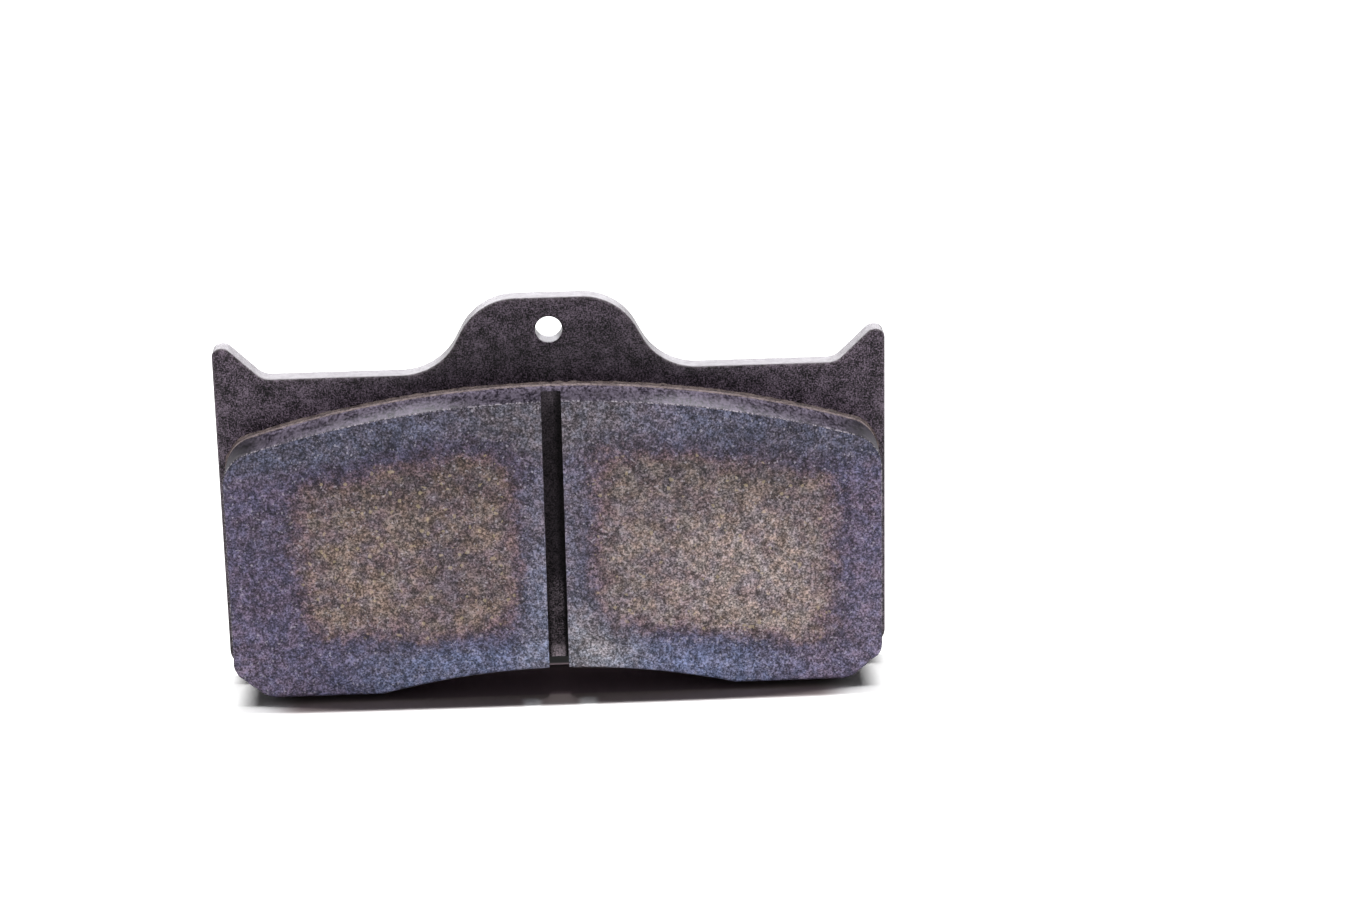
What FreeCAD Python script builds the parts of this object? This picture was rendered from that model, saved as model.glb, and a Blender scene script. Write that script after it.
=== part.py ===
import FreeCAD, Part
import math
import os

from FreeCAD import Vector

# Disc brake pad for a fixed caliper, in millimetres.
# The pad stands on its inner, concave edge: +Z runs outward from the axle to the pin lug,
# X runs along the pad's length, and the friction face looks to -Y, towards the disc.
# The origin is under the middle of the pad, at the level of the plate's two feet.

# Overall size
PAD_WIDTH = 102.0
PAD_HEIGHT = 61.0
PAD_THICKNESS = 12.5

# Layers, from the pistons to the disc; the friction block takes what is left
PLATE_THICKNESS = 3.6
ADHESIVE_THICKNESS = 0.15
UNDERLAYER_THICKNESS = 1.2

# Backing plate: shoulders, ears and the lug for the retaining pin
SHOULDER_HEIGHT = 49.35
EAR_HEIGHT = 54.45
EAR_SLOPE = 44.0            # degrees above the shoulder
EAR_FOOT = 43.5             # where the ear leaves the shoulder, from the middle
EAR_FOOT_RADIUS = 3.0
EAR_TIP_RADIUS = 1.5
EAR_CORNER_RADIUS = 1.3
LUG_HALF_WIDTH = 10.6       # at the top, before its corners are rounded
LUG_FLANK = 62.0            # degrees above the shoulder
LUG_CROWN_RADIUS = 9.3
LUG_ROOT_RADIUS = 9.5
PLATE_EDGE_BREAK = 0.3
PIN_HOLE_DIAMETER = 4.1
PIN_HOLE_HEIGHT = 56.0

# Inner edge, the same on plate and friction block: a concave arch between two feet, outer corners cut off
FOOT_GAP = 54.0             # distance between the two flat feet
FOOT_ARCH_RISE = 3.36
FOOT_BLEND_RADIUS = 6.0
CHAMFER_WIDTH = 5.1
CHAMFER_HEIGHT = 4.2
CHAMFER_LOWER_RADIUS = 4.0
CHAMFER_UPPER_RADIUS = 2.5

# Friction block and the layers under it
SIDE_LEDGE = 1.25           # plate showing beyond each side of the block
FOOT_LEDGE = 1.0            # plate showing below the block's feet
BLOCK_CROWN = 47.5          # height of the block's outer arc in the middle
BLOCK_CROWN_RADIUS = 157.0
BLOCK_TOP_CORNER_RADIUS = 5.5
BLOCK_EDGE_BREAK = 0.5
SLOT_WIDTH = 3.0
SLOT_DEPTH = 5.0
ADHESIVE_MARGIN = 0.25      # squeeze-out beyond the moulded block

# Keying holes, filled by studs of underlayer
KEY_DIAMETER = 8.0
KEY_RECESS = 0.3            # how far a stud stops short of the plate's back face
KEY_INNER = (16.5, 25.0)    # distance from the middle, height
KEY_OUTER = (36.0, 21.5)

# Levels along Y
BACK_Y = PAD_THICKNESS / 2
PLATE_FRONT_Y = BACK_Y - PLATE_THICKNESS
ADHESIVE_FRONT_Y = PLATE_FRONT_Y - ADHESIVE_THICKNESS
UNDERLAYER_FRONT_Y = ADHESIVE_FRONT_Y - UNDERLAYER_THICKNESS
FACE_Y = -PAD_THICKNESS / 2

HALF_WIDTH = PAD_WIDTH / 2
FOOT_ARCH_RADIUS = ((FOOT_GAP / 2) ** 2 + FOOT_ARCH_RISE ** 2) / (2 * FOOT_ARCH_RISE)
OVERSHOOT = 5.0             # how far cutting tools run past the material
ALONG_Y = Vector(0, 1, 0)
NEAR = 0.01


def cylinder(x, z, radius, y_low, y_high):
    """A round bar along Y."""
    return Part.makeCylinder(radius, y_high - y_low, Vector(x, y_low, z), ALONG_Y)


def box(x_low, x_high, y_low, y_high, z_low, z_high):
    """A box between two opposite corners."""
    size = (x_high - x_low, y_high - y_low, z_high - z_low)
    return Part.makeBox(*size, Vector(x_low, y_low, z_low))


def rounded_outline(corners, y):
    """A closed wire at depth y through corners (x, z, radius), each rounded by its own radius."""
    points = [Vector(x, y, z) for x, z, _ in corners]
    edges = []
    last_end = None
    first_start = None
    for i, (_, _, radius) in enumerate(corners):
        corner = points[i]
        back = (points[i - 1] - corner).normalize()
        ahead = (points[(i + 1) % len(points)] - corner).normalize()
        half_angle = back.getAngle(ahead) / 2
        reach = radius / math.tan(half_angle)
        start = corner + back * reach
        end = corner + ahead * reach
        bisector = (back + ahead).normalize()
        middle = corner + bisector * (radius / math.sin(half_angle) - radius)
        if last_end is None:
            first_start = start
        else:
            edges.append(Part.makeLine(last_end, start))
        edges.append(Part.Arc(start, middle, end).toShape())
        last_end = end
    edges.append(Part.makeLine(last_end, first_start))
    return Part.Wire(edges)


def mirrored(half):
    """Corners of a symmetric outline from its right half, listed from the bottom up."""
    left = [(-x, z, radius) for x, z, radius in reversed(half)]
    return half + left


def edges_along_y(shape, x, z):
    """The straight edges along Y that pass through (+-x, z)."""
    found = []
    for edge in shape.Edges:
        centre = edge.BoundBox
        level = centre.XLength < NEAR and centre.ZLength < NEAR
        here = abs(abs(centre.XMin) - x) < NEAR and abs(centre.ZMin - z) < NEAR
        if level and here:
            found.append(edge)
    return found


def rim_edges(shape, y):
    """The edges that lie flat at depth y."""
    return [e for e in shape.Edges if abs(e.BoundBox.YMin - y) < NEAR and e.BoundBox.YLength < NEAR]


def cut_foot_arch(shape, foot_z, y_low, y_high):
    """Cuts the concave arch between two feet whose flats are at height foot_z."""
    centre_z = foot_z + FOOT_ARCH_RISE - FOOT_ARCH_RADIUS
    arched = shape.cut(cylinder(0, centre_z, FOOT_ARCH_RADIUS, y_low - OVERSHOOT, y_high + OVERSHOOT))
    kinks = edges_along_y(arched, FOOT_GAP / 2, foot_z)
    return arched.makeFillet(FOOT_BLEND_RADIUS, kinks)


def key_positions():
    """Centres (x, z) of the four keying holes."""
    return [(side * x, z) for x, z in (KEY_INNER, KEY_OUTER) for side in (-1, 1)]


def cut_corner(half_width, foot_z):
    """Outline corners of a foot whose outer corner is cut off."""
    return [
        (half_width - CHAMFER_WIDTH, foot_z, CHAMFER_LOWER_RADIUS),
        (half_width, foot_z + CHAMFER_HEIGHT, CHAMFER_UPPER_RADIUS),
    ]


def plate_half_outline():
    """Right half of the plate's outline: cut foot corner, ear, shoulder and lug."""
    ear_run = (EAR_HEIGHT - SHOULDER_HEIGHT) / math.tan(math.radians(EAR_SLOPE))
    lug_run = (PAD_HEIGHT - SHOULDER_HEIGHT) / math.tan(math.radians(LUG_FLANK))
    return cut_corner(HALF_WIDTH, 0) + [
        (HALF_WIDTH, EAR_HEIGHT, EAR_CORNER_RADIUS),
        (EAR_FOOT + ear_run, EAR_HEIGHT, EAR_TIP_RADIUS),
        (EAR_FOOT, SHOULDER_HEIGHT, EAR_FOOT_RADIUS),
        (LUG_HALF_WIDTH + lug_run, SHOULDER_HEIGHT, LUG_ROOT_RADIUS),
        (LUG_HALF_WIDTH, PAD_HEIGHT, LUG_CROWN_RADIUS),
    ]


def make_backing_plate():
    """The steel stamping: two ears, a lug with the pin hole, and the keying holes."""
    outline = rounded_outline(mirrored(plate_half_outline()), PLATE_FRONT_Y)
    plate = Part.Face(outline).extrude(ALONG_Y * PLATE_THICKNESS)
    plate = cut_foot_arch(plate, 0, PLATE_FRONT_Y, BACK_Y)
    rims = rim_edges(plate, PLATE_FRONT_Y) + rim_edges(plate, BACK_Y)
    plate = plate.makeFillet(PLATE_EDGE_BREAK, rims)
    holes = [cylinder(x, z, KEY_DIAMETER / 2, PLATE_FRONT_Y, BACK_Y) for x, z in key_positions()]
    holes.append(cylinder(0, PIN_HOLE_HEIGHT, PIN_HOLE_DIAMETER / 2, PLATE_FRONT_Y, BACK_Y))
    for hole in holes:
        plate = plate.cut(hole)
    return plate


def moulded_slab(y_low, y_high):
    """A slab with the friction block's outline: cut lower corners, crown arc and foot arch."""
    half = HALF_WIDTH - SIDE_LEDGE
    top_z = BLOCK_CROWN + OVERSHOOT
    right_half = cut_corner(half, FOOT_LEDGE) + [(half, top_z, OVERSHOOT / 2)]
    slab = Part.Face(rounded_outline(mirrored(right_half), y_low)).extrude(ALONG_Y * (y_high - y_low))
    centre_z = BLOCK_CROWN - BLOCK_CROWN_RADIUS
    slab = slab.common(cylinder(0, centre_z, BLOCK_CROWN_RADIUS, y_low, y_high))
    corner_z = centre_z + math.sqrt(BLOCK_CROWN_RADIUS ** 2 - half ** 2)
    slab = slab.makeFillet(BLOCK_TOP_CORNER_RADIUS, edges_along_y(slab, half, corner_z))
    return cut_foot_arch(slab, FOOT_LEDGE, y_low, y_high)


def face_at(shape, y):
    """The flat face of a shape at depth y."""
    return [f for f in shape.Faces if f.BoundBox.YLength < NEAR and abs(f.BoundBox.YMin - y) < NEAR][0]


def make_adhesive_film():
    """The heat-cured film between plate and moulding, squeezed out a little all round."""
    moulding = moulded_slab(ADHESIVE_FRONT_Y, PLATE_FRONT_Y)
    outline = face_at(moulding, ADHESIVE_FRONT_Y).makeOffset2D(ADHESIVE_MARGIN)
    film = outline.extrude(ALONG_Y * ADHESIVE_THICKNESS)
    for x, z in key_positions():
        film = film.cut(cylinder(x, z, KEY_DIAMETER / 2, ADHESIVE_FRONT_Y, PLATE_FRONT_Y))
    return film


def make_underlayer():
    """The bonding layer of the moulding, with the studs that fill the plate's keying holes."""
    layer = moulded_slab(UNDERLAYER_FRONT_Y, ADHESIVE_FRONT_Y)
    for x, z in key_positions():
        layer = layer.fuse(cylinder(x, z, KEY_DIAMETER / 2, UNDERLAYER_FRONT_Y, BACK_Y - KEY_RECESS))
    return layer.removeSplitter()


def make_friction_block():
    """The wearing block, with an eased rim and the slot sawn down its middle."""
    block = moulded_slab(FACE_Y, UNDERLAYER_FRONT_Y)
    block = block.makeFillet(BLOCK_EDGE_BREAK, rim_edges(block, FACE_Y))
    half_slot = SLOT_WIDTH / 2
    slot = box(
        -half_slot, half_slot,
        FACE_Y - OVERSHOOT, FACE_Y + SLOT_DEPTH,
        -OVERSHOOT, BLOCK_CROWN + OVERSHOOT,
    )
    return block.cut(slot)


def write_step(name, shape):
    """Checks that a sub-part is one valid closed solid and writes it."""
    if shape.ShapeType == "Compound" and len(shape.Solids) == 1:
        shape = shape.Solids[0]
    if not shape.isValid() or len(shape.Solids) != 1:
        raise ValueError(f"{name} is not one valid solid")
    shape.exportStep(os.path.join("parts", f"{name}.step"))
    size = shape.BoundBox
    print(f"{name}: {shape.Volume:.1f} mm3, {size.XLength:.2f} x {size.YLength:.2f} x {size.ZLength:.2f}")


os.makedirs("parts", exist_ok=True)
write_step("backing_plate", make_backing_plate())
write_step("adhesive_film", make_adhesive_film())
write_step("underlayer", make_underlayer())
write_step("friction_block", make_friction_block())
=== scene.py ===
import math
import random

import bmesh
import bpy
import numpy as np
from mathutils import Matrix, Vector, noise
from mathutils.geometry import delaunay_2d_cdt
from mathutils.kdtree import KDTree


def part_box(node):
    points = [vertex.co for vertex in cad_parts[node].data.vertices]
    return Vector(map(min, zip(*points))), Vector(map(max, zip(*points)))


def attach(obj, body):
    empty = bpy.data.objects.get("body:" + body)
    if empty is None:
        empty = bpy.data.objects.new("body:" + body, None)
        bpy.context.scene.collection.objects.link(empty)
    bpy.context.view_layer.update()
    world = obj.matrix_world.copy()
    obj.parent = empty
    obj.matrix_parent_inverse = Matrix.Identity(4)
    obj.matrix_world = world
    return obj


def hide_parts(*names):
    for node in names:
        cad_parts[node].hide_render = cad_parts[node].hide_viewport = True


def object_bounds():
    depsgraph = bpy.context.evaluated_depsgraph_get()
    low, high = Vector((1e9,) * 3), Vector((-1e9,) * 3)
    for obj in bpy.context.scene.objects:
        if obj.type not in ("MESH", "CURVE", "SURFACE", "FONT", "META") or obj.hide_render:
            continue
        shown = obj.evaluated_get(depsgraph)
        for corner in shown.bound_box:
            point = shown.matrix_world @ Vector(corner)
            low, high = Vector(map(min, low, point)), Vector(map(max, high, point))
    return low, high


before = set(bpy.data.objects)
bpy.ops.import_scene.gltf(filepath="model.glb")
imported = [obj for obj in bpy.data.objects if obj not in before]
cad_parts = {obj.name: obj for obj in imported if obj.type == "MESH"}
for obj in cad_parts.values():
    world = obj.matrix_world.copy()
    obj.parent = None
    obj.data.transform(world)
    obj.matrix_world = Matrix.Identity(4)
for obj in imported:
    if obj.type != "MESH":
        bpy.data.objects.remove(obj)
cad_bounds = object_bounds()

# The visual brake pad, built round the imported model. Meshes are worked out in millimetres, with X and Z
# in the pad's plane and Y through its thickness, and written in metres.
MM = 0.001

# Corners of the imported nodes
plate_low, plate_high = (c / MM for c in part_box("backing_plate"))
film_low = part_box("adhesive_film")[0] / MM
under_low, under_high = (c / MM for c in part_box("underlayer"))
block_low, block_high = (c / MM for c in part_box("friction_block"))

# Depths along Y
BACK_Y = plate_high.y
PLATE_FRONT_Y = plate_low.y
FILM_FRONT_Y = film_low.y
UNDER_FRONT_Y = under_low.y
STUD_END_Y = under_high.y
FACE_Y = block_low.y

# Plate outline
PLATE_HALF = plate_high.x
PLATE_TOP = plate_high.z
SHOULDER_Z = 49.35
EAR_Z = 54.45
EAR_FOOT_X = 43.5
EAR_SLOPE = math.radians(44)
LUG_HALF = 10.6
LUG_FLANK = math.radians(62)
EAR_CORNER_R = 1.3
EAR_TIP_R = 1.5
EAR_FOOT_R = 3.0
LUG_ROOT_R = 9.5
LUG_CROWN_R = 9.3
# How far the plate's edges are rounded, in front and behind
PLATE_FRONT_EASE = 0.4
PLATE_BACK_EASE = 0.18

# Pin hole and keying holes
PIN_Z = 56.0
PIN_R = 2.05
KEY_R = 4.0
KEY_CENTRES = ((-36.0, 21.5), (-16.5, 25.0), (16.5, 25.0), (36.0, 21.5))

# Block outline
BLOCK_HALF = block_high.x
BLOCK_FOOT_Z = block_low.z
BLOCK_CROWN_Z = block_high.z
CROWN_R = 157.0
CHAMFER_W = 5.1
CHAMFER_H = 4.2
CHAMFER_UPPER_R = 2.5
CHAMFER_LOWER_R = 4.0
TOP_CORNER_R = 5.5
ARCH_HALF = 27.0
ARCH_RISE = 3.36
ARCH_R = (ARCH_HALF ** 2 + ARCH_RISE ** 2) / (2 * ARCH_RISE)
SLOT_HALF = 1.5
SLOT_DEPTH = 5.0
SLOT_FLOOR_Y = FACE_Y + SLOT_DEPTH

# Points nearer than this, in metres, are welded into one
WELD = 2e-6
# A length below this, in millimetres, counts as nothing
NEARLY_ZERO = 1e-6
# Edges that turn by more than this are shaded sharp
SHARP_ANGLE = math.radians(40)


# ---------------- outlines

def fillet_points(before, corner, after, radius, step):
    """Points round one corner of an open path, from tangent to tangent."""
    back = (before - corner).normalized()
    ahead = (after - corner).normalized()
    half = back.angle(ahead) / 2
    bisector = (back + ahead).normalized()
    centre = corner + bisector * (radius / math.sin(half))
    start = corner + back * (radius / math.tan(half)) - centre
    turn = math.pi - 2 * half
    side = 1 if back.x * ahead.y - back.y * ahead.x < 0 else -1
    count = max(6, math.ceil(radius * turn / step))
    points = []
    for i in range(count + 1):
        angle = side * turn * i / count
        c, s = math.cos(angle), math.sin(angle)
        points.append(centre + Vector((start.x * c - start.y * s, start.x * s + start.y * c)))
    return points


def open_path(start, corners, end, step):
    """A path from start to end round corners (x, z, radius), with points about step apart."""
    spots = [Vector(start)] + [Vector(c[:2]) for c in corners] + [Vector(end)]
    knots = [spots[0]]
    for i, corner in enumerate(corners, 1):
        knots += fillet_points(spots[i - 1], spots[i], spots[i + 1], corner[2], step)
    knots.append(spots[-1])
    return divided(knots, step)


def divided(knots, step):
    """The same path with long runs cut into lengths of about step."""
    points = [knots[0]]
    for a, b in zip(knots, knots[1:]):
        count = max(1, round((b - a).length / step))
        points += [a.lerp(b, i / count) for i in range(1, count + 1)]
    return points


def arc(centre, radius, start, stop, step):
    """Points along an arc about a centre, by angle from +X."""
    count = max(3, math.ceil(radius * abs(stop - start) / step))
    angles = [start + (stop - start) * i / count for i in range(count + 1)]
    return [centre + radius * Vector((math.cos(a), math.sin(a))) for a in angles]


def arch_lift(x):
    """How far the foot arch stands above the feet at x."""
    if abs(x) >= ARCH_HALF:
        return 0.0
    return ARCH_RISE - ARCH_R + math.sqrt(ARCH_R ** 2 - x ** 2)


def lifted(points, foot_z):
    """The path with its foot line bent up into the arch."""
    return [
        Vector((p.x, p.y + arch_lift(p.x))) if abs(p.y - foot_z) < NEARLY_ZERO else p
        for p in points
    ]


def mirrored_loop(half):
    """A closed loop from a right half that starts at the bottom and ends at the top."""
    left = [Vector((-p.x, p.y)) for p in reversed(half)]
    if abs(half[-1].x) < NEARLY_ZERO:
        left = left[1:]
    if abs(half[0].x) < NEARLY_ZERO:
        left = left[:-1]
    return half + left


def cut_corner(half_width, foot_z):
    """Corners of a foot whose outer corner is cut off."""
    return [
        (half_width - CHAMFER_W, foot_z, CHAMFER_LOWER_R),
        (half_width, foot_z + CHAMFER_H, CHAMFER_UPPER_R),
    ]


def plate_loop(step):
    """The plate's whole outline, from the middle of the foot and anticlockwise."""
    ear_x = EAR_FOOT_X + (EAR_Z - SHOULDER_Z) / math.tan(EAR_SLOPE)
    root_x = LUG_HALF + (PLATE_TOP - SHOULDER_Z) / math.tan(LUG_FLANK)
    corners = cut_corner(PLATE_HALF, 0) + [
        (PLATE_HALF, EAR_Z, EAR_CORNER_R),
        (ear_x, EAR_Z, EAR_TIP_R),
        (EAR_FOOT_X, SHOULDER_Z, EAR_FOOT_R),
        (root_x, SHOULDER_Z, LUG_ROOT_R),
        (LUG_HALF, PLATE_TOP, LUG_CROWN_R),
    ]
    half = open_path((0, 0), corners, (0, PLATE_TOP), step)
    return mirrored_loop(lifted(half, 0))


def block_half(step, from_x):
    """The right half of the block's outline, from from_x on the foot round to from_x on the crown."""
    foot = cut_corner(BLOCK_HALF, BLOCK_FOOT_Z)
    crown = Vector((0, BLOCK_CROWN_Z - CROWN_R))
    inner_x = BLOCK_HALF - TOP_CORNER_R
    reach = CROWN_R - TOP_CORNER_R
    corner = crown + Vector((inner_x, math.sqrt(reach ** 2 - inner_x ** 2)))
    lean = math.atan2(corner.y - crown.y, corner.x)
    lower = open_path((from_x, BLOCK_FOOT_Z), foot, (BLOCK_HALF, corner.y), step)
    bend = arc(corner, TOP_CORNER_R, 0, lean, step)
    top = arc(crown, CROWN_R, lean, math.acos(from_x / CROWN_R), step)
    return lifted(lower, BLOCK_FOOT_Z) + bend[1:] + top[1:]


def outward_normals(loop):
    """The outward unit normal at each point of a closed anticlockwise loop."""
    normals = []
    for i, point in enumerate(loop):
        after = (loop[(i + 1) % len(loop)] - point).normalized()
        before = (point - loop[i - 1]).normalized()
        run = (before + after).normalized()
        normals.append(Vector((run.y, -run.x)))
    return normals


# ---------------- mesh building

def placed(name, data):
    """A new object in the scene."""
    thing = bpy.data.objects.new(name, data)
    bpy.context.scene.collection.objects.link(thing)
    return thing


class Builder:
    """Collects faces from grids and filled outlines, in millimetres, and welds them into one mesh."""

    def __init__(self):
        self.points = []
        self.faces = []

    def add(self, points):
        """Stores points and returns the index of the first."""
        first = len(self.points)
        self.points += [tuple(p) for p in points]
        return first

    def grid(self, rows, closed=False, skip=None):
        """Quads between rows of equal length; closed joins each row's end to its start."""
        width = len(rows[0])
        first = self.add([p for row in rows for p in row])
        for j in range(len(rows) - 1):
            for i in range(width if closed else width - 1):
                if skip and skip(j, i):
                    continue
                k = (i + 1) % width
                a = first + j * width
                b = a + width
                self.faces.append((a + i, a + k, b + k, b + i))

    def tube(self, x, z, levels, count):
        """A round wall of count sides through levels (y, radius)."""
        self.grid([at_depth(circle(x, z, r, count), y) for y, r in levels], closed=True)

    def cap(self, loops, spacing, edge_y, seed, inner_y=None):
        """Fills an outline, and leaves any holes in it open, by triangles about spacing wide.
        edge_y is the surface's Y on the loops, and inner_y(x, z) its Y inside, where that differs."""
        fixed = [p for loop in loops for p in loop]
        edges = []
        first = 0
        for loop in loops:
            count = len(loop)
            edges += [(first + i, first + (i + 1) % count) for i in range(count)]
            first += count
        spots = [Vector(p) for p in fixed] + filling(loops, spacing, seed)
        found = delaunay_2d_cdt(spots, edges, [], 0, NEARLY_ZERO)
        made, triangles, origins = found[0], found[2], found[3]
        depths = []
        for spot, origin in zip(made, origins):
            on_edge = bool(origin) and min(origin) < len(fixed)
            depths.append(edge_y if on_edge or inner_y is None else inner_y(spot.x, spot.y))
        start = self.add([(p.x, y, p.y) for p, y in zip(made, depths)])
        kept = triangles_inside(made, triangles, loops)
        self.faces += [tuple(start + v for v in triangle) for triangle in kept]

    def finish(self, name, slot, node, materials, pick=None):
        """The welded, smooth-shaded piece. pick(centre) gives the index of a face's material."""
        mesh = bpy.data.meshes.new(name)
        mesh.from_pydata([Vector(p) * MM for p in self.points], [], self.faces)
        work = bmesh.new()
        work.from_mesh(mesh)
        bmesh.ops.remove_doubles(work, verts=work.verts, dist=WELD)
        bmesh.ops.dissolve_degenerate(work, edges=work.edges, dist=WELD / 4)
        bmesh.ops.recalc_face_normals(work, faces=work.faces)
        work.to_mesh(mesh)
        work.free()
        for polygon in mesh.polygons:
            polygon.use_smooth = True
            polygon.material_index = pick(polygon.center / MM) if pick else 0
        mesh.set_sharp_from_angle(angle=SHARP_ANGLE)
        for material in materials:
            mesh.materials.append(material)
        piece = placed(name, mesh)
        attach(piece, "root")
        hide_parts(node)
        return piece


def inside(xs, zs, loops):
    """True where a point lies inside an odd number of loops."""
    odd = np.zeros(len(xs), bool)
    for loop in loops:
        for a, b in zip(loop, list(loop[1:]) + [loop[0]]):
            if a[1] == b[1]:
                continue
            crosses = (a[1] > zs) != (b[1] > zs)
            odd ^= crosses & (xs < a[0] + (zs - a[1]) * (b[0] - a[0]) / (b[1] - a[1]))
    return odd


# How uneven filling points are, and how clear of the edges, in shares of their spacing
UNEVEN = 0.2
CLEAR = 0.6


def search_tree(points):
    """A tree that finds the nearest of some points in the pad's plane."""
    tree = KDTree(len(points))
    for i, p in enumerate(points):
        tree.insert((p[0], p[1], 0), i)
    tree.balance()
    return tree


def filling(loops, spacing, seed):
    """Slightly uneven points in a triangular pattern inside the loops, clear of them."""
    dice = random.Random(seed)
    outer = np.array([tuple(p) for p in loops[0]])
    low, high = outer.min(0), outer.max(0)
    tree = search_tree([p for loop in loops for p in loop])
    height = spacing * math.sqrt(3) / 2
    spots = []
    for j in range(int((high[1] - low[1]) / height) + 1):
        shift = spacing / 2 * (j % 2)
        for i in range(int((high[0] - low[0]) / spacing) + 1):
            x = low[0] + shift + i * spacing + dice.uniform(-UNEVEN, UNEVEN) * spacing
            z = low[1] + j * height + dice.uniform(-UNEVEN, UNEVEN) * spacing
            spots.append((x, z))
    places = np.array(spots)
    good = inside(places[:, 0], places[:, 1], loops)
    return [
        Vector(p) for p, ok in zip(spots, good)
        if ok and tree.find((p[0], p[1], 0))[2] > spacing * CLEAR
    ]


def triangles_inside(points, triangles, loops):
    """The triangles whose middle lies inside the loops."""
    places = np.array([tuple(p) for p in points])
    middles = places[np.array(triangles)].mean(1)
    good = inside(middles[:, 0], middles[:, 1], loops)
    return [triangle for triangle, ok in zip(triangles, good) if ok]


def at_depth(loop, y):
    """A row of points: the loop, placed at y."""
    return [(p[0], y, p[1]) for p in loop]


def flattened(row):
    """The loop that a row of points makes in the pad's plane."""
    return [Vector((p[0], p[2])) for p in row]


def moved_out(loop, normals, amounts):
    """The loop moved outward, by one amount or by one for each point."""
    if not hasattr(amounts, "__len__"):
        amounts = [amounts] * len(loop)
    return [p + n * a for p, n, a in zip(loop, normals, amounts)]


def circle(x, z, radius, count):
    """A round loop of count points."""
    turn = 2 * math.pi / count
    angles = [i * turn for i in range(count)]
    return [Vector((x + radius * math.cos(a), z + radius * math.sin(a))) for a in angles]


# How far each further seed moves the place where noise is read
SEED_SHIFT = (17.3, 5.1, 9.7)


def rough(x, y, z, size, seed):
    """Smooth noise from -1 to 1 with lumps about size millimetres wide."""
    return noise.noise(Vector((x, y, z)) / size + Vector([seed * shift for shift in SEED_SHIFT]))


# ---------------- materials

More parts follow.
